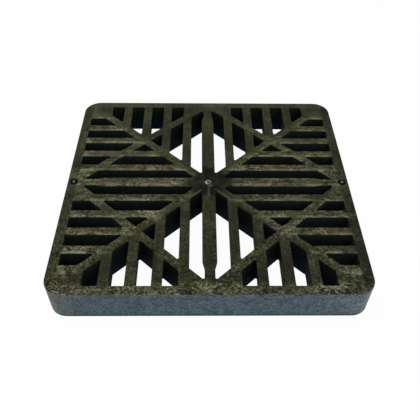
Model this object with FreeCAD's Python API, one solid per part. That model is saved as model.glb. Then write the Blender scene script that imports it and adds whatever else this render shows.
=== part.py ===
import FreeCAD, Part
import math
import os

# Square moulded gully grate with its two fixing screws. Millimetres, +Z up.
# Origin: middle of the grate, on the plane that its lower edge rests on.

# Whole grate
side = 304.8
height = 34.9
corner_radius = 16.0
top_edge_radius = 1.2
lower_edge_flat = 0.6

# Ribs, measured at the walked-on face
border = 10.4
steps = 6                 # equal steps from the centre line to the middle of the border
bar_width = 10.3
cross_width = 14.3
neck_width = 10.8
neck_length = 28.0        # narrow end of each cross bar, from the inner face of the border
neck_blend_length = 8.4
diagonal_width = 9.9
diamond_width = 9.4

# Mould draft, in degrees from the vertical
skirt_draft = 2.5
rib_draft = 2.5
bar_draft = 5.5

# Slots
slot_tip_radius = 1.1
front_hub_tip_radius = 1.4    # pointed ends in front of the middle and behind it
side_hub_tip_radius = 2.5     # pointed ends to the left and right of the middle
hub_reach = 25.0              # how far from the middle those ends are, at most
slot_corner_flat = 0.6
neck_blend_radius = 15.0
smallest_slot = 9.0       # what is narrower between the ribs is filled in
overshoot = 1.0           # how far a cutter runs past the faces that it cuts

# Screws and their holes, one on each side
screw_inset = 6.9         # from the side of the grate to the screw's axis
head_diameter = 7.4
head_height = 2.4
head_rim_height = 1.0
head_stands_out = 0.8
shank_diameter = 4.0
shank_length = 31.8
point_length = 4.0
head_clearance = 0.5
shank_clearance = 0.3
recess_span = 4.0
recess_width = 1.0
recess_depth = 1.3

# Worked out from the sizes above
half_side = side / 2
inner_face = half_side - border
reach = half_side - border / 2
pitch = reach / steps
screw_x = half_side - screw_inset
seat_depth = head_height - head_stands_out
UP = FreeCAD.Vector(0, 0, 1)


def lean(draft, depth=height):
    """How far a wall with this draft has moved sideways at a depth below the top."""
    return depth * math.tan(math.radians(draft))


def crossing(first, second):
    """Plan point where two lines meet; a line is (nx, ny, distance), its normal pointing out of the slot."""
    a, b, c = first
    d, e, f = second
    scale = a * e - b * d
    return FreeCAD.Vector((c * e - b * f) / scale, (a * f - c * d) / scale, 0)


def tapered_prism(walls):
    """Cutter between flat walls given in order as (nx, ny, distance, draft); it widens towards the bottom."""
    rings = []
    for depth in (-overshoot, height + overshoot):
        lines = [(nx, ny, distance + lean(draft, depth)) for nx, ny, distance, draft in walls]
        rings.append([crossing(lines[i - 1], lines[i]) + UP * (height - depth) for i in range(len(lines))])
    upper, lower = rings
    outlines = rings + [[upper[i - 1], upper[i], lower[i], lower[i - 1]] for i in range(len(walls))]
    faces = [Part.Face(Part.makePolygon(points + points[:1])) for points in outlines]
    return Part.Solid(Part.makeShell(faces))


def diagonal_wall(sign_x, sign_y, distance):
    """Wall at 45 degrees; distance is where it cuts the Y axis, with its sign turned by the normal."""
    slope = math.sqrt(0.5)
    return sign_x * slope, sign_y * slope, distance * slope, rib_draft


def block():
    """The grate's outside, before its slots: its four sides lean in towards the bottom."""
    straight = half_side - corner_radius
    outline = [FreeCAD.Vector(x, -straight, z) for x, z in (
        (straight, 0), (half_side - lean(skirt_draft), 0), (half_side, height), (straight, height))]
    edge_piece = Part.Face(Part.makePolygon(outline + outline[:1])).extrude(FreeCAD.Vector(0, 2 * straight, 0))
    edge_piece = edge_piece.makeFillet(top_edge_radius, outer_edges(edge_piece, height))
    edge_piece = edge_piece.makeChamfer(lower_edge_flat, outer_edges(edge_piece, 0))
    end = max(edge_piece.Faces, key=lambda face: face.CenterOfMass.y)
    corner_piece = end.revolve(FreeCAD.Vector(straight, straight, 0), UP, 90)
    ring = []
    for quarter in range(4):
        for piece in (edge_piece, corner_piece):
            copy = piece.copy()
            copy.rotate(FreeCAD.Vector(), UP, 90 * quarter)
            ring.append(copy)
    middle = Part.makeBox(2 * straight, 2 * straight, height, FreeCAD.Vector(-straight, -straight, 0))
    return middle.fuse(ring).removeSplitter()


def outer_edges(edge_piece, z):
    """The long outer edge of the block's edge piece at one height."""
    near = 1e-4
    straight = half_side - corner_radius
    return [e for e in edge_piece.Edges if e.BoundBox.YLength > straight
            and abs(e.CenterOfMass.z - z) < near and e.CenterOfMass.x > straight + near]


def bar_gap(number):
    """Space between two neighbouring bars, right of the centre line; number 0 is beside the cross bar."""
    right = (1, 0, (number + 1) * pitch - bar_width / 2, bar_draft)
    near_end = (0, -1, 0, rib_draft)
    far_end = (0, 1, half_side, rib_draft)
    if number > 0:
        left = (-1, 0, -(number * pitch + bar_width / 2), bar_draft)
        return tapered_prism([near_end, right, far_end, left])
    neck_start = inner_face - neck_length
    narrowing = (cross_width - neck_width) / 2
    slant = math.hypot(narrowing, neck_blend_length)
    nx, ny = -neck_blend_length / slant, -narrowing / slant
    blend = (nx, ny, nx * cross_width / 2 + ny * neck_start, rib_draft)
    wide = (-1, 0, -cross_width / 2, rib_draft)
    narrow = (-1, 0, -neck_width / 2, rib_draft)
    gap = tapered_prism([near_end, right, far_end, narrow, blend, wide])
    middle = neck_start + neck_blend_length / 2
    bends = [e for e in gap.Edges if is_upright(e) and abs(e.CenterOfMass.y - middle) < neck_blend_length]
    return gap.makeFillet(neck_blend_radius, bends)


def is_upright(edge):
    """True for an edge that runs from the top to the bottom."""
    return edge.BoundBox.ZLength > height / 2


def corners(slot, least, most):
    """Upright edges of a slot where its wall turns by between these angles, in degrees."""
    found = []
    for edge in slot.Edges:
        if not is_upright(edge):
            continue
        walls = slot.ancestorsOfType(edge, Part.Face)
        normals = [wall.normalAt(*wall.Surface.parameter(edge.CenterOfMass)) for wall in walls]
        if least < math.degrees(normals[0].getAngle(normals[1])) < most:
            found.append(edge)
    return found


def ease_corners(slot, hub_tip_radius):
    """Rounds a slot's pointed ends and takes off its square corners; the blunt ones stay as they are."""
    tips = corners(slot, 110, 160)
    at_hub = [edge for edge in tips if math.hypot(edge.CenterOfMass.x, edge.CenterOfMass.y) < hub_reach]
    if at_hub:
        slot = slot.makeFillet(hub_tip_radius, at_hub)
    slot = slot.makeFillet(slot_tip_radius, corners(slot, 110, 160))
    square = corners(slot, 70, 110)
    return slot.makeChamfer(slot_corner_flat, square) if square else slot


def slots_of_one_eighth(hub_tip_radius):
    """Slots between the centre line and a diagonal: the gaps between bars, stopped by the other ribs."""
    diagonal = diagonal_width / 2 * math.sqrt(2)
    diamond = diamond_width / 2 * math.sqrt(2)
    inside = tapered_prism([
        diagonal_wall(1, -1, -diagonal), diagonal_wall(1, 1, reach - diamond), (-1, 0, 0, rib_draft)])
    outside = tapered_prism([
        diagonal_wall(1, -1, -diagonal), (0, 1, inner_face, rib_draft), diagonal_wall(-1, -1, -reach - diamond)])
    slots = []
    for number in range(steps):
        for zone in (inside, outside):
            slot = bar_gap(number).common(zone)
            if slot.Solids and min(width_at_top(slot)) > smallest_slot:
                slots.append(ease_corners(slot.Solids[0], hub_tip_radius))
    return slots


def width_at_top(slot):
    """Size of a slot along X and Y at the walked-on face."""
    box = max(slot.Faces, key=lambda face: face.CenterOfMass.z).BoundBox
    return box.XLength, box.YLength


def all_slots():
    """The eighth's slots, mirrored and turned round the grate: first those beside the front bar."""
    placed = []
    for hub_tip_radius, first_turn in ((front_hub_tip_radius, 0), (side_hub_tip_radius, 90)):
        slots = slots_of_one_eighth(hub_tip_radius)
        slots += [slot.mirror(FreeCAD.Vector(), FreeCAD.Vector(1, 0, 0)) for slot in slots]
        for turn in (first_turn, first_turn + 180):
            for slot in slots:
                copy = slot.copy()
                copy.rotate(FreeCAD.Vector(), UP, turn)
                placed.append(copy)
    return placed


def screw_holes():
    """Stepped hole for each screw, right through the border."""
    holes = []
    for x in (-screw_x, screw_x):
        axis = FreeCAD.Vector(x, 0, 0)
        bore = Part.makeCylinder(shank_diameter / 2 + shank_clearance, height, axis)
        seat = Part.makeCylinder(head_diameter / 2 + head_clearance, height, axis + UP * (height - seat_depth))
        holes.append(bore.fuse(seat))
    return holes


def grate():
    """The moulded piece."""
    return block().cut(all_slots() + screw_holes())


def screw():
    """Domed screw on its axis, with the underside of its head at Z = 0 and a cross recess."""
    head = head_diameter / 2
    shank = shank_diameter / 2
    rise = head_height - head_rim_height
    dome_radius = (head ** 2 + rise ** 2) / (2 * rise)
    half_way = math.asin(head / dome_radius) / 2
    crown = head_height - dome_radius * (1 - math.cos(half_way))

    def at(radius, z):
        return FreeCAD.Vector(radius, 0, z)

    outline = Part.Wire([
        Part.makeLine(at(0, -shank_length), at(shank, point_length - shank_length)),
        Part.makeLine(at(shank, point_length - shank_length), at(shank, 0)),
        Part.makeLine(at(shank, 0), at(head, 0)),
        Part.makeLine(at(head, 0), at(head, head_rim_height)),
        Part.Arc(at(head, head_rim_height), at(dome_radius * math.sin(half_way), crown), at(0, head_height)).toShape(),
        Part.makeLine(at(0, head_height), at(0, -shank_length))])
    solid = Part.Face(outline).revolve(FreeCAD.Vector(), UP, 360)
    return solid.cut(cross_recess())


def cross_recess():
    """Two crossed blades that narrow downwards."""
    blades = []
    for turn in (0, 90):
        wires = []
        for z, share in ((head_height + recess_depth, 1.5), (head_height - recess_depth, 0.5)):
            blade = Part.makePlane(recess_span * share, recess_width,
                                   FreeCAD.Vector(-recess_span * share / 2, -recess_width / 2, z))
            wires.append(blade.OuterWire)
        blade = Part.makeLoft(wires, True, True)
        blade.rotate(FreeCAD.Vector(), UP, turn)
        blades.append(blade)
    return blades[0].fuse(blades[1])


def placed_screw(x):
    """Screw with its head on its seat."""
    piece = screw()
    piece.translate(FreeCAD.Vector(x, 0, height - seat_depth))
    return piece


pieces = {
    "grate": grate(),
    "left_screw": placed_screw(-screw_x),
    "right_screw": placed_screw(screw_x),
}
os.makedirs("parts", exist_ok=True)
for name, shape in pieces.items():
    shape.exportStep(f"parts/{name}.step")
    print(name, shape.isValid(), len(shape.Solids), "faces", len(shape.Faces), "cm3", round(shape.Volume / 1000, 2))
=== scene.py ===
import math

import bmesh
import bpy
from mathutils import Matrix, Vector


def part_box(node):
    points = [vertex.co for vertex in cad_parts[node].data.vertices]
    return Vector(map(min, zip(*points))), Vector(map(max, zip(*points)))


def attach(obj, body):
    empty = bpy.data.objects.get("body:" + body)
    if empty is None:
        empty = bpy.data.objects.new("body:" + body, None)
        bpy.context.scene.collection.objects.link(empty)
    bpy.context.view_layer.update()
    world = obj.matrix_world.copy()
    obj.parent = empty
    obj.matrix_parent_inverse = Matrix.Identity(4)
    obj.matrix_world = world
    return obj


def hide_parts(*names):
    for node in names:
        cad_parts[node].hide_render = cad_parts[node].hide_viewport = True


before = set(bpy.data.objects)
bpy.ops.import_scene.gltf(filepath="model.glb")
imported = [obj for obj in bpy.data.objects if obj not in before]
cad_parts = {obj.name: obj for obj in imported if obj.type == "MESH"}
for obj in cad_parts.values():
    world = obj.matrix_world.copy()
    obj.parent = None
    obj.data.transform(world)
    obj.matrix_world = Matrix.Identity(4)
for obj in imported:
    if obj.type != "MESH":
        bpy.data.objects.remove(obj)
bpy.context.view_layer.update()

# Sizes that the finish and the rounded copy of the grate follow: metres, in the frame's coordinates
MM = 0.001
GRATE_LOW, GRATE_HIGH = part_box("grate")
BOTTOM = GRATE_LOW[2]
TOP = GRATE_HIGH[2]
HALF_SIDE = GRATE_HIGH[0]
BORDER = 10.4 * MM
INNER_FACE = HALF_SIDE - BORDER
DIAMOND_REACH = HALF_SIDE - BORDER / 2    # where the diamond rib's middle line meets the axes
BAR_PITCH = DIAMOND_REACH / 6             # six equal steps from the centre line to the border's middle
SOLID_CORNER_RADIUS = 16 * MM
CORNER_RADIUS = 19 * MM
CROSS_HALF_WIDTH = 7.15 * MM
CROSS_DRAFT = math.radians(2.5)
CROSS_START = 12 * MM                     # where the cross bars' walls begin and end, from the middle
CROSS_END = 137 * MM
NECK_ZONE = 100 * MM                      # where the necks and the ends of the wide parts begin
SLOT_TIPS = 128 * MM
SOLID_NECK_HALF_WIDTH = 5.4 * MM
NECK_HALF_WIDTH = 5.05 * MM
FLANGE = 1.5 * MM
TOP_RIM = 0.7 * MM
LOWER_RIM = 0.5 * MM
HUB_RADIUS = 20 * MM
GATE_RADIUS = 3.9 * MM
GATE_MIDDLE = Vector((-0.2, -0.6)) * MM
SCREW_X = HALF_SIDE - 6.85 * MM
FLOOR_GAP = 0.3 * MM

# Colours as a screen shows them, 0 to 255; the first two run from the hollows to the scuffed spots
OLIVE = ((14, 18, 12), (37, 42, 27), (61, 66, 42), (87, 90, 63), (118, 120, 97))
EARTH = ((17, 16, 13), (42, 39, 28), (68, 63, 46), (95, 88, 69), (128, 120, 103))
# Painted highlight with wear: the light along the level bars' front edges
RUBBED_AND_LIT_EDGE = (112, 111, 99)
GATE_STREAK = (64, 69, 64)
# Painted highlight with wear: the slots' rims beside the diagonals near the hub
LIT_RIM_WITH_WEAR = (92, 94, 78)
RUST = (100, 64, 40)
GATE_HOLLOW = (38, 47, 43)
TORN_PLASTIC = (140, 143, 137)
# Painted shade: the dark ring in the rim of each screw's seat
SCREW_RIM_SHADE = (14, 15, 13)
# The skirt's blue-grey is painted reflection on black plastic; its lighter ends are painted light
SKIRT = ((18, 38, 47), (72, 89, 98))
SKIRT_LEFT_END = ((34, 37, 33), (98, 99, 88))
SKIRT_RIGHT_END = ((40, 52, 56), (104, 114, 115))
SKIRT_FOOT = (0, 28, 44)
WALL = (25, 33, 30)
# Painted reflection: the blue low on the slots' walls
WALL_FOOT_REFLECTION = (23, 53, 68)
DRAW_MARKS = (13, 20, 20)
UNDERSIDE = (40, 43, 42)
SCREW_COAT = (5, 5, 6)
# Painted highlight on the screw heads
SCREW_HIGHLIGHT = (132, 139, 148)

# Camera, as the photograph was taken: above the front edge, looking down and a little to the right
CAMERA_PLACE = Vector((-10.4, -468.7, 413.4)) * MM    # from the middle of the top face
CAMERA_DOWN = math.radians(44.19)
CAMERA_RIGHT = math.radians(1.54)
CAMERA_ROLL = math.radians(1.14)
LENS_MM = 49.29
SENSOR_MM = 36.0


class Value:
    """A number in a node tree: arithmetic on it adds Math nodes."""

    def __init__(self, nodes, socket):
        self.nodes = nodes
        self.socket = socket

    def math(self, operation, *others, clamp=False):
        settings = {"operation": operation, "use_clamp": clamp}
        node = self.nodes.node("ShaderNodeMath", settings, [self, *others])
        return Value(self.nodes, node.outputs[0])

    def __add__(self, other):
        return self.math("ADD", other)

    def __radd__(self, other):
        return self.math("ADD", other)

    def __sub__(self, other):
        return self.math("SUBTRACT", other)

    def __rsub__(self, other):
        return (self * -1.0) + other

    def __mul__(self, other):
        return self.math("MULTIPLY", other)

    def __rmul__(self, other):
        return self.math("MULTIPLY", other)

    def __truediv__(self, other):
        return self.math("DIVIDE", other)

    def __rtruediv__(self, other):
        return self ** -1.0 * other

    def __pow__(self, other):
        return self.math("POWER", other)

    def size(self):
        return self.math("ABSOLUTE")

    def larger(self, other):
        return self.math("MAXIMUM", other)

    def smaller(self, other):
        return self.math("MINIMUM", other)

    def clamped(self):
        return self.math("ADD", 0.0, clamp=True)

    def rise(self, start, end):
        """0 below start, 1 above end, smooth between; start may be above end."""
        node = self.nodes.node("ShaderNodeMapRange", {"interpolation_type": "SMOOTHSTEP"},
                               [self, start, end, 0.0, 1.0])
        return Value(self.nodes, node.outputs[0])


class Nodes:
    """A node tree, with one short way to add to it."""

    def __init__(self, tree):
        self.tree = tree

    def node(self, kind, settings=None, sockets=None):
        """Adds a node: its settings first, then its sockets, by name or in order."""
        node = self.tree.nodes.new(kind)
        for name, setting in (settings or {}).items():
            setattr(node, name, setting)
        pairs = sockets.items() if isinstance(sockets, dict) else enumerate(sockets or [])
        for name, value in pairs:
            self.feed(node.inputs[name], value)
        return node

    def feed(self, socket, value):
        """Links a value or a socket to a socket, or sets a plain one on it."""
        value = value.socket if isinstance(value, Value) else value
        if isinstance(value, bpy.types.NodeSocket):
            self.tree.links.new(value, socket)
        else:
            socket.default_value = value


class Shader(Nodes):
    """One material's nodes."""

    def __init__(self, name):
        self.material = bpy.data.materials.new(name)
        self.material.use_nodes = True
        super().__init__(self.material.node_tree)
        self.tree.nodes.clear()
        coordinates = self.node("ShaderNodeTexCoord").outputs
        self.place = coordinates["Object"]
        self.x, self.y, self.z = self.parts(self.place)
        self.upward = self.parts(coordinates["Normal"])[2]

    def parts(self, vector):
        """X, Y and Z of a vector socket."""
        node = self.node("ShaderNodeSeparateXYZ", sockets=[vector])
        return [Value(self, output) for output in node.outputs]

    def stretched(self, sizes_mm, turn=0.0):
        """Object coordinates in units of the given sizes along X, Y and Z, turned about Z first."""
        place = self.place
        if turn:
            place = self.node("ShaderNodeVectorRotate", {"rotation_type": "Z_AXIS"},
                              {"Vector": place, "Angle": turn}).outputs[0]
        scale = [1 / (size * MM) for size in sizes_mm]
        return self.node("ShaderNodeVectorMath", {"operation": "MULTIPLY"}, [place, scale]).outputs[0]

    def noise(self, sizes_mm, seed, detail=2.0, roughness=0.55, distortion=0.0, turn=0.0):
        """Noise about 0.5, with patches of the given sizes."""
        node = self.node("ShaderNodeTexNoise", {"noise_dimensions": "4D"}, {
            "Vector": self.stretched(sizes_mm, turn), "W": seed, "Scale": 1.0, "Detail": detail,
            "Roughness": roughness, "Distortion": distortion})
        return Value(self, node.outputs[0])

    def blend(self, amount, first, second):
        """Colour between two colours."""
        node = self.node("ShaderNodeMix", {"data_type": "RGBA"}, {0: amount, 6: first, 7: second})
        return node.outputs[2]

    def ramp(self, amount, colours):
        """Colour that runs through these screen colours, evenly spaced, as the amount goes from 0 to 1."""
        node = self.node("ShaderNodeValToRGB", sockets=[amount.clamped()])
        elements = node.color_ramp.elements
        while len(elements) < len(colours):
            elements.new(0.5)
        for number, colour in enumerate(colours):
            elements[number].position = number / (len(colours) - 1)
            elements[number].color = screen(colour)
        return node.outputs[0]

    def surface(self, colour, roughness, normal, specular):
        """One Principled surface."""
        node = self.node("ShaderNodeBsdfPrincipled", sockets={
            "Base Color": colour, "Roughness": roughness, "Specular IOR Level": specular,
            "Normal": normal})
        return node.outputs[0]

    def finish(self, surface, *layers):
        """Ends the tree in a surface, with each layer's surface over it where its mask is 1."""
        for layer, mask in layers:
            surface = self.node("ShaderNodeMixShader", sockets=[mask, surface, layer]).outputs[0]
        self.node("ShaderNodeOutputMaterial", sockets={"Surface": surface})
        return self.material

    def bump(self, height, distance_mm, strength):
        """Normal from a height."""
        node = self.node("ShaderNodeBump", sockets={
            "Strength": strength, "Distance": distance_mm * MM, "Height": height})
        return node.outputs[0]


def grey(level):
    """Neutral colour."""
    return (level, level, level, 1.0)


def screen(rgb):
    """Colour from its three values as a screen shows them, 0 to 255."""
    return tuple(((value / 255 + 0.055) / 1.055) ** 2.4 for value in rgb) + (1.0,)


def distance(first, second):
    """How far a point is from another, from its distances along X and Y."""
    return (first * first + second * second) ** 0.5


class Mottling:
    """Noise about 0, from broad to fine, and the streaks in which the plastic flowed from the gate."""

    def __init__(self, s):
        self.clouds = s.noise((42, 42, 42), 3.0, detail=1.0) - 0.5
        self.patches = s.noise((13, 10, 10), 7.0, roughness=0.6, distortion=0.7) - 0.5
        self.dashes = s.noise((11, 4.2, 4), 11.0, distortion=0.9) - 0.5
        self.curls = s.noise((6.4, 5.4, 4), 1.0, detail=3.0, distortion=2.2, turn=0.6) - 0.5
        self.streaks = s.noise((2.6, 26, 9), 9.0, detail=3.0, roughness=0.6) - 0.5
        self.grain = s.noise((2.2, 1.8, 1.8), 5.0, roughness=0.7) - 0.5
        rays = s.node("ShaderNodeVectorMath", {"operation": "NORMALIZE"}, [s.place]).outputs[0]
        flow = s.node("ShaderNodeTexNoise", {"noise_dimensions": "3D"},
                      {"Vector": rays, "Scale": 5.0, "Detail": 3.0})
        self.flow = Value(s, flow.outputs[0]) - 0.5


class Places:
    """Where things are on the grate, each as a number from 0 to 1."""

    def __init__(self, s, flow):
        x, y = s.x, s.y
        across, along, forward = x.size(), y.size(), y * -1.0
        self.nearness = (y * -0.5 / HALF_SIDE) + 0.5
        self.rightness = x.rise(0.0, HALF_SIDE)
        self.side_border = across.rise(INNER_FACE - 2 * MM, INNER_FACE + 2 * MM)
        self.front_border = forward.rise(INNER_FACE - 8 * MM, INNER_FACE + 2 * MM)
        self.back_border = y.rise(INNER_FACE - 2 * MM, INNER_FACE + 2 * MM)
        self.corner = across.smaller(along).rise(HALF_SIDE - 34 * MM, HALF_SIDE - 12 * MM)
        self.level_bars = (across - along).rise(-12 * MM, 10 * MM) * (1.0 - self.side_border)
        off_diamond = (across + along - DIAMOND_REACH).size()
        self.diamond = off_diamond.rise(9 * MM, 4 * MM) * (1.0 - self.level_bars)

        hub_reach = distance(x * 0.87, y) + flow * 16 * MM
        self.hub = hub_reach.rise(HUB_RADIUS + 11 * MM, HUB_RADIUS - 7 * MM)
        # Place between two bars' gaps, 0 on a bar's middle line; 20 whole pitches keep it positive
        in_pitch = (y / BAR_PITCH + 20.5).math("FRACT") - 0.5
        # Front edges of the level bars: painted highlight with wear goes here
        front_edge = in_pitch.rise(-0.03, -0.15) * in_pitch.rise(-0.3, -0.2)
        self.front_edge = front_edge * self.level_bars * (1.0 - self.hub)
        off_diagonal = (along - across) * 0.7
        from_middle = distance(x, y)
        # Painted highlight with wear: a band beside the diagonals, near the middle and at the front, where
        # the slots' rims catch the light
        lit_rim_with_wear = off_diagonal.rise(1.2 * MM, 2.6 * MM) * off_diagonal.rise(4.7 * MM, 3.4 * MM)
        lit_rim_with_wear = lit_rim_with_wear * from_middle.rise(11 * MM, 19 * MM) * forward.rise(0.0, 6 * MM)
        self.lit_rim_with_wear = lit_rim_with_wear * from_middle.rise(42 * MM, 26 * MM)
        # Rim of each screw's seat, where painted shade goes
        round_screw = distance(across - SCREW_X, y)
        self.screw_rim = round_screw.rise(5.0 * MM, 4.2 * MM)

        beyond = [(way - (HALF_SIDE - CORNER_RADIUS)).larger(0.0) for way in (across, along)]
        self.skirt = distance(*beyond).rise(CORNER_RADIUS - 3.5 * MM, CORNER_RADIUS - 2.5 * MM)


def weathered_surface_and_painted_light(s, m, at):
    """The walked-on face: rough and scuffed, most of all on the level bars and the front border, with
    painted highlights along edges and rims and painted shade round the screws.
    """
    x, forward = s.x, s.y * -1.0
    roughened = 0.36 + 0.50 * at.level_bars + 0.62 * at.front_border
    roughened = roughened + 0.16 * at.side_border + 0.28 * at.diamond
    roughened = roughened * (0.68 + 0.6 * at.nearness) * (1.0 + 2.2 * m.clouds)
    roughened = roughened * (1.0 - 0.8 * at.hub) * (1.0 - at.corner * (0.12 + 0.25 * at.rightness))

    # Streak from the gate to the front
    streak = (x + m.curls * 2 * MM).size().rise(1.9 * MM, 0.4 * MM)
    streak = streak * forward.rise(3 * MM, 7 * MM) * forward.rise(30 * MM, 16 * MM)

    tone = 0.30 + 0.18 * at.level_bars + 0.10 * at.back_border + 0.07 * at.diamond
    tone = tone + 0.18 * at.front_border * (1.0 - 0.6 * at.side_border)
    tone = tone - x * (0.03 / HALF_SIDE) - 0.06 * at.nearness - 0.32 * at.hub
    tone = tone - at.corner * (0.06 * at.nearness + 0.12 * at.rightness * (1.0 - at.nearness))
    # Painted highlight with wear: lighter along the level bars' front edges
    tone = tone + at.front_edge * (0.05 + 0.15 * m.patches.rise(-0.1, 0.1))
    mottle = m.patches * 0.9 + m.curls * (0.9 + 0.3 * at.nearness)
    mottle = mottle + m.grain * (1.5 + 0.7 * at.nearness) + m.dashes * (0.5 + 0.6 * at.level_bars)
    tone = tone + m.clouds * 0.35 + mottle * roughened + m.streaks * 0.35 * (1.0 - at.level_bars)
    tone = tone + m.flow * at.hub * 0.7 + streak * 0.15

    hue = s.noise((3.6, 3, 3), 17.0, roughness=0.7, distortion=1.0)
    top_colour = s.blend(hue.rise(0.36, 0.66), s.ramp(tone, OLIVE), s.ramp(tone, EARTH))
    # Painted highlight with wear along the front edges, where their rounded rims catch the light
    rubbed_and_lit = at.front_edge * m.patches.rise(-0.15, 0.1) * 0.35
    rust = s.noise((3.4, 2.6, 3), 21.0, detail=1.0).rise(0.68, 0.76) * roughened * 0.6
    hollow, torn = gate_places(s, m)
    # Marks over the top: the lit edges and rims are painted highlight with wear, the screw rims painted
    # shade
    for amount, colour in ((rubbed_and_lit, RUBBED_AND_LIT_EDGE), (streak * 0.5, GATE_STREAK),
                           (at.lit_rim_with_wear * 0.32, LIT_RIM_WITH_WEAR), (rust, RUST), (hollow, GATE_HOLLOW),
                           (torn, TORN_PLASTIC), (at.screw_rim * 0.8, SCREW_RIM_SHADE)):
        top_colour = s.blend(amount, top_colour, screen(colour))
    scuffs = (m.curls * 0.6 + m.dashes * 0.5 + m.grain * 0.7) * (0.3 + roughened)
    return s.surface(top_colour, 0.7 + m.grain * 0.3, s.bump(scuffs, 0.35, 0.8), 0.05)


def gate_places(s, m):
    """Masks of the gate mark: its dark hollow, and the torn plastic round it with a crack."""
    x, y = s.x, s.y
    from_gate = distance(x - GATE_MIDDLE.x, y - GATE_MIDDLE.y)
    hollow = from_gate.rise(GATE_RADIUS, GATE_RADIUS - 1 * MM)
    fragments = s.noise((2.3, 3.2, 3), 31.0, roughness=0.7)
    torn = (from_gate + m.curls * 2 * MM).rise(GATE_RADIUS + 0.2 * MM, GATE_RADIUS - 0.7 * MM)
    torn = torn * from_gate.rise(1.1 * MM, 2.2 * MM) * (fragments - x * 25.0).rise(0.2, 0.65)
    crack = ((x - 0.1 * MM) * 0.81 + (y + 1.25 * MM) * 0.58).size().rise(0.9 * MM, 0.4 * MM)
    torn = torn * (1.0 - crack * y.rise(1.4 * MM, 0.4 * MM)) * (1.0 - x.rise(0.0, 1.2 * MM) * 0.35)
    crumb = distance(x - 2.4 * MM, y + 5.6 * MM).rise(2.0 * MM, 0.6 * MM)
    return hollow, torn.larger(crumb * 0.25)


def skirt_surface(s):
    """Sides of the skirt: a painted blue-grey reflection, finely speckled, with painted light making it
    lighter at the ends, dark along the foot.
    """
    patches = s.noise((7.5, 7.5, 5), 13.0, detail=3.0, roughness=0.6, distortion=0.8) - 0.5
    grain = s.noise((2.2, 2.2, 1.8), 15.0) - 0.5
    tone = (0.5 + patches * 2.2 + grain * 3.3).clamped()
    side, left_end, right_end = (s.blend(tone, screen(dark), screen(light))
                                 for dark, light in (SKIRT, SKIRT_LEFT_END, SKIRT_RIGHT_END))
    # Painted light: lighter towards the left and right ends
    leftward = (s.x * -1.0).rise(HALF_SIDE - 45 * MM, HALF_SIDE - 8 * MM)
    side = s.blend(leftward * 0.6, side, left_end)
    side = s.blend(s.x.rise(HALF_SIDE - 70 * MM, HALF_SIDE - 8 * MM) * 0.5, side, right_end)
    side = s.blend(s.z.rise(4.0 * MM, 2.2 * MM) * 0.9, side, screen(SKIRT_FOOT))
    dimples = grain * 0.5 + patches * 0.3
    return s.surface(side, 0.5 + grain * 0.3, s.bump(dimples, 0.35, 0.8), 0.22)


def inner_surface(s):
    """Walls of the slots and the underside, which the weather hasn't reached; the lower walls get a
    painted blue reflection.
    """
    drawn = s.noise((1.8, 1.8, 22), 23.0)
    # Painted reflection: the walls turn blue towards their foot
    wall = s.blend(s.z.rise(18 * MM, 2 * MM), screen(WALL), screen(WALL_FOOT_REFLECTION))
    wall = s.blend(drawn.rise(0.42, 0.62) * 0.4, wall, screen(DRAW_MARKS))
    wall = s.blend(s.upward.rise(-0.6, -0.9), wall, screen(UNDERSIDE))
    return s.surface(wall, 0.7, s.bump(drawn, 0.2, 0.5), 0.01)


def moulded_plastic():
    """Black structural foam: olive and mottled on top, a painted blue-grey reflection at its sides, black
    in the slots.
    """
    s = Shader("moulded_plastic")
    m = Mottling(s)
    at = Places(s, m.flow)
    top = s.upward.rise(0.45, 0.8)
    top = top * (s.z + m.curls * 1.2 * MM).rise(TOP - 2.2 * MM, TOP - 1.2 * MM)
    return s.finish(inner_surface(s), (skirt_surface(s), at.skirt), (weathered_surface_and_painted_light(s, m, at), top))


def black_screw():
    """Black coated steel, with a painted highlight in and round the recess that the driver goes into."""
    s = Shader("black_screw")
    grain = s.noise((0.7, 0.7, 0.7), 2.0)
    from_axis = distance(s.x.size() - SCREW_X, s.y)
    # Painted highlight: a light spot in and round the recess
    highlight_spot = (from_axis + (grain - 0.5) * MM).rise(1.7 * MM, 0.9 * MM)
    highlight_spot = highlight_spot * s.z.rise(TOP - 1.5 * MM, TOP - 1.0 * MM)
    colour = s.blend(highlight_spot, screen(SCREW_COAT), screen(SCREW_HIGHLIGHT))
    return s.finish(s.surface(colour, 0.38 + grain * 0.1, s.bump(grain, 0.03, 0.4), 0.05))


def joined(node_name):
    """A node's mesh with its triangles joined into flat faces."""
    shape = bmesh.new()
    shape.from_mesh(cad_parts[node_name].data)
    bmesh.ops.remove_doubles(shape, verts=shape.verts, dist=0.002 * MM)
    bmesh.ops.dissolve_limit(shape, angle_limit=math.radians(0.3),
                             verts=shape.verts, edges=shape.edges)
    return shape


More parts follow.
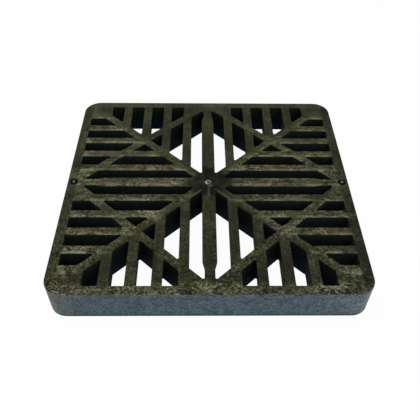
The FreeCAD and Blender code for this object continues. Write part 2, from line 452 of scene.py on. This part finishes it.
def round_rims(shape, level, up, radius, steps):
    """Rounds the edges between upright walls and the flat face at this height; up is 1 or -1."""
    flat = dict.fromkeys(
        face for face in shape.faces
        if face.normal.z * up > 0.999 and abs(face.calc_center_median().z - level) < 0.01 * MM)
    rim, outline, wall_sides = [], [], {}
    for edge in dict.fromkeys(edge for face in flat for edge in face.edges):
        walls = [face for face in edge.link_faces if face not in flat]
        if walls and abs(walls[0].normal.z) < 0.5:
            rim.append(edge)
            for corner in edge.verts:
                away = -Vector((walls[0].normal.x, walls[0].normal.y, 0)).normalized()
                wall_sides.setdefault(corner, []).append(away)
        elif walls:
            outline.append(edge)
    bmesh.ops.delete(shape, geom=list(flat), context="FACES")

    rings = {}
    for corner, (first, second) in wall_sides.items():
        mitre = (first + second) / (1 + first.dot(second))
        place = corner.co.copy()
        uprights = [edge.other_vert(corner).co - place for edge in corner.link_edges]
        upright = max(uprights, key=lambda way: -way.z * up / way.length)
        foot = upright * (radius / abs(upright.z))
        lean = Vector((foot.x, foot.y, 0))
        rings[corner] = [corner]
        for step in range(1, steps + 1):
            turn = math.pi / 2 * step / steps
            drop = 1 - math.sin(turn)
            sideways = lean * drop + mitre * (radius * (1 - math.cos(turn)))
            rings[corner].append(shape.verts.new(place + sideways - Vector((0, 0, up * radius * drop))))
        corner.co = place + foot
    for edge in rim:
        first, second = (rings[corner] for corner in edge.verts)
        for step in range(steps):
            shape.faces.new((first[step], second[step], second[step + 1], first[step + 1]))
        outline.append(shape.edges.get((first[-1], second[-1])))
    bmesh.ops.triangle_fill(shape, use_beauty=True, edges=outline, normal=(0, 0, up))
    bmesh.ops.recalc_face_normals(shape, faces=shape.faces)


def across_cross_bar(place):
    """For a point on a cross bar: the axis across the bar, how far out along the bar the point is, and
    what half the bar's width there comes to at the top."""
    across = 0 if abs(place.x) < abs(place.y) else 1
    lean = (TOP - place.z) * math.tan(CROSS_DRAFT)
    return across, abs(place[1 - across]), abs(place[across]) + lean


def slim_cross_bars(shape):
    """Narrows the necks of the cross bars, and leaves only a flange of the wide part above its web."""
    near = 0.02 * MM
    for depth in (FLANGE, 2 * FLANGE):
        walls = []
        for face in shape.faces:
            places = [across_cross_bar(point.co) for point in face.verts]
            if abs(face.normal.z) < 0.5 and all(
                    CROSS_START < out < CROSS_END and half < CROSS_HALF_WIDTH + near
                    for _, out, half in places):
                walls.append(face)
        around = dict.fromkeys(part for face in walls for part in (*face.verts, *face.edges))
        bmesh.ops.bisect_plane(shape, geom=[*walls, *around], dist=0.0001 * MM,
                               plane_co=(0, 0, TOP - depth), plane_no=(0, 0, 1))
    solid_narrowing = CROSS_HALF_WIDTH - SOLID_NECK_HALF_WIDTH
    stretch = (CROSS_HALF_WIDTH - NECK_HALF_WIDTH) / solid_narrowing
    for point in shape.verts:
        across, out, half = across_cross_bar(point.co)
        if half > CROSS_HALF_WIDTH + near or not NECK_ZONE < out < CROSS_END:
            continue
        slimmed = CROSS_HALF_WIDTH - (CROSS_HALF_WIDTH - half) * stretch
        if TOP - point.co.z > 1.5 * FLANGE and out < SLOT_TIPS:
            slimmed = min(slimmed, NECK_HALF_WIDTH)
        point.co[across] -= math.copysign(half - slimmed, point.co[across])
    shape.normal_update()


def ease_outer_corners(shape):
    """Takes the upright corners of the outline in, from the solid's radius to the photograph's."""
    straight = HALF_SIDE - CORNER_RADIUS
    for way in (Vector((1, 0, 0)), Vector((-1, 0, 0)), Vector((0, 1, 0)), Vector((0, -1, 0))):
        everything = shape.verts[:] + shape.edges[:] + shape.faces[:]
        bmesh.ops.bisect_plane(shape, geom=everything, dist=0.0001 * MM,
                               plane_co=way * straight, plane_no=way)
    gap = CORNER_RADIUS - SOLID_CORNER_RADIUS
    for point in shape.verts:
        out = Vector((abs(point.co.x) - straight, abs(point.co.y) - straight))
        if min(out) < 0.001 * MM:
            continue
        way = out.normalized()
        total = way.x + way.y
        on_side = CORNER_RADIUS / max(way)
        on_arc = gap * total + math.sqrt((gap * total) ** 2 - 2 * gap ** 2 + SOLID_CORNER_RADIUS ** 2)
        inwards = way * ((on_side if on_side * min(way) < gap else on_arc) - CORNER_RADIUS)
        point.co.x -= math.copysign(inwards.x, point.co.x)
        point.co.y -= math.copysign(inwards.y, point.co.y)


def finished(name, shape, material):
    """Object from a shape, with its rounded edges shaded smooth and its flat faces flat."""
    mesh = bpy.data.meshes.new(name)
    for face in shape.faces:
        face.smooth = True
    shape.to_mesh(mesh)
    shape.free()
    mesh.materials.append(material)
    piece = bpy.data.objects.new(name, mesh)
    bpy.context.scene.collection.objects.link(piece)
    piece.modifiers.new("flat_faces", "WEIGHTED_NORMAL").keep_sharp = True
    settle(piece)
    return piece


def settle(piece):
    """Puts the shape that a piece's modifiers make into its own mesh."""
    evaluated = piece.evaluated_get(bpy.context.evaluated_depsgraph_get())
    piece.data = bpy.data.meshes.new_from_object(evaluated)
    piece.modifiers.clear()


def rounded_grate(material):
    """The grate with its slots' rims rounded, in place of its plain solid."""
    shape = joined("grate")
    slim_cross_bars(shape)
    round_rims(shape, TOP, 1, TOP_RIM, 3)
    round_rims(shape, BOTTOM, -1, LOWER_RIM, 2)
    ease_outer_corners(shape)
    piece = finished("rounded_grate", shape, material)
    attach(piece, "root")
    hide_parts("grate")


def broken_ring():
    """Geometry nodes for a closed ring, half sunk in the face it stands on, broken off unevenly."""
    tree = bpy.data.node_groups.new("broken_ring", "GeometryNodeTree")
    tree.interface.new_socket("Ring", in_out="OUTPUT", socket_type="NodeSocketGeometry")
    kinds = {"Middle": "Vector", "Radius": "Float", "Half width": "Float", "Height": "Float",
             "Unevenness": "Float", "Fragment size": "Float", "Seed": "Float", "Material": "Material"}
    for name, kind in kinds.items():
        tree.interface.new_socket(name, in_out="INPUT", socket_type="NodeSocket" + kind)
    g = Nodes(tree)
    sizes = g.node("NodeGroupInput").outputs

    path = g.node("GeometryNodeCurvePrimitiveCircle",
                  sockets={"Resolution": 48, "Radius": sizes["Radius"]}).outputs[0]
    section = g.node("GeometryNodeCurvePrimitiveCircle",
                     sockets={"Resolution": 14, "Radius": 1.0}).outputs[0]
    scale = g.node("ShaderNodeCombineXYZ",
                   sockets=[sizes["Half width"], sizes["Height"], 1.0]).outputs[0]
    section = g.node("GeometryNodeTransform",
                     sockets={"Geometry": section, "Scale": scale}).outputs[0]
    ring = g.node("GeometryNodeCurveToMesh",
                  sockets={"Curve": path, "Profile Curve": section}).outputs[0]

    place = g.node("GeometryNodeInputPosition").outputs[0]
    closeness = 1.0 / Value(g, sizes["Fragment size"])
    noise = g.node("ShaderNodeTexNoise", {"noise_dimensions": "4D"},
                   {"Vector": place, "W": sizes["Seed"], "Scale": closeness}).outputs["Color"]
    about_zero = g.node("ShaderNodeVectorMath", {"operation": "SUBTRACT"},
                        [noise, (0.5, 0.5, 0.5)]).outputs[0]
    shift = g.node("ShaderNodeVectorMath", {"operation": "SCALE"},
                   {"Vector": about_zero, "Scale": sizes["Unevenness"]}).outputs[0]
    for kind, sockets in (
            ("SetPosition", {"Offset": shift}), ("Transform", {"Translation": sizes["Middle"]}),
            ("RealizeInstances", {}), ("SetMaterial", {"Material": sizes["Material"]})):
        ring = g.node("GeometryNode" + kind, sockets={"Geometry": ring, **sockets}).outputs[0]
    g.node("NodeGroupOutput", sockets={"Ring": ring})
    return tree


def gate_mark(material):
    """What is left of the plastic that filled the mould: a low, uneven ring at the middle."""
    sizes = {"Middle": (*GATE_MIDDLE, TOP), "Radius": 2.45 * MM, "Half width": 1.4 * MM,
             "Height": 0.45 * MM, "Unevenness": 1.4 * MM, "Fragment size": 1.9 * MM, "Seed": 4.0,
             "Material": material}
    piece = bpy.data.objects.new("gate_mark", bpy.data.meshes.new("gate_mark"))
    bpy.context.scene.collection.objects.link(piece)
    modifier = piece.modifiers.new("broken_ring", "NODES")
    modifier.node_group = broken_ring()
    for item in modifier.node_group.interface.items_tree:
        if item.in_out == "INPUT":
            modifier[item.identifier] = sizes[item.name]
    settle(piece)
    piece.data.shade_smooth()
    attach(piece, "root")


def dress(node_name, material):
    """Gives a node its finish."""
    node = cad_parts[node_name]
    node.data.materials.clear()
    node.data.materials.append(material)


def add_floor():
    """Pale floor that looks white to the camera and keeps the grate's shadow."""
    bpy.ops.mesh.primitive_plane_add(size=12.0, location=(0, 0, -FLOOR_GAP))
    floor = bpy.context.object
    floor.name = "floor"
    s = Shader("pale_floor")
    paths = s.node("ShaderNodeLightPath").outputs
    seen = Value(s, paths["Is Camera Ray"]).larger(Value(s, paths["Is Glossy Ray"]))
    seen = seen.larger(Value(s, paths["Is Transmission Ray"]))
    plain = s.node("ShaderNodeBsdfDiffuse", sockets={"Color": grey(0.8)})
    white = s.node("ShaderNodeEmission", sockets={"Color": grey(1.0), "Strength": 1.0})
    floor.data.materials.append(s.finish(plain.outputs[0], (white.outputs[0], seen * 0.965)))


def add_softbox(name, place, size, watts, colour=(1, 1, 1)):
    """Square soft lamp that points at the middle."""
    data = bpy.data.lights.new(name, "AREA")
    data.shape = "SQUARE"
    data.size = size
    data.energy = watts
    data.color = colour
    lamp = bpy.data.objects.new(name, data)
    lamp.location = place
    lamp.rotation_euler = (-Vector(place)).to_track_quat("-Z", "Y").to_euler()
    bpy.context.scene.collection.objects.link(lamp)


def add_world():
    """Even light all round, white to the camera."""
    world = bpy.data.worlds.new("studio")
    bpy.context.scene.world = world
    world.use_nodes = True
    world.node_tree.nodes.clear()
    w = Nodes(world.node_tree)
    seen = w.node("ShaderNodeLightPath").outputs["Is Camera Ray"]
    even, white = (w.node("ShaderNodeBackground", sockets={"Color": grey(1.0), "Strength": strength})
                   for strength in (0.45, 1.0))
    mixed = w.node("ShaderNodeMixShader", sockets=[seen, even.outputs[0], white.outputs[0]])
    w.node("ShaderNodeOutputWorld", sockets={"Surface": mixed.outputs[0]})


def add_camera():
    """Camera at the photograph's place and angle."""
    data = bpy.data.cameras.new("camera")
    data.lens = LENS_MM
    data.sensor_width = SENSOR_MM
    data.clip_start = 0.01
    camera = bpy.data.objects.new("camera", data)
    turn = Matrix.Rotation(-CAMERA_RIGHT, 4, "Z")
    tilt = Matrix.Rotation(math.pi / 2 - CAMERA_DOWN, 4, "X")
    roll = Matrix.Rotation(CAMERA_ROLL, 4, "Z")
    place = Matrix.Translation(CAMERA_PLACE + Vector((0, 0, TOP)))
    camera.matrix_world = place @ turn @ tilt @ roll
    bpy.context.scene.collection.objects.link(camera)
    bpy.context.scene.camera = camera


plastic = moulded_plastic()
screw_coat = black_screw()
rounded_grate(plastic)
gate_mark(plastic)
dress("left_screw", screw_coat)
dress("right_screw", screw_coat)

add_floor()
add_softbox("key", (-0.5, 0.3, 1.7), size=1.2, watts=19)
add_softbox("fill", (0.5, -1.4, 0.9), size=1.2, watts=12.3, colour=(0.9, 0.96, 1.0))
add_softbox("left_side", (-1.6, -0.5, 0.35), size=0.7, watts=5)
add_softbox("right_side", (1.6, -0.5, 0.35), size=0.7, watts=5)
add_world()
add_camera()
bpy.context.scene.view_settings.view_transform = "Standard"
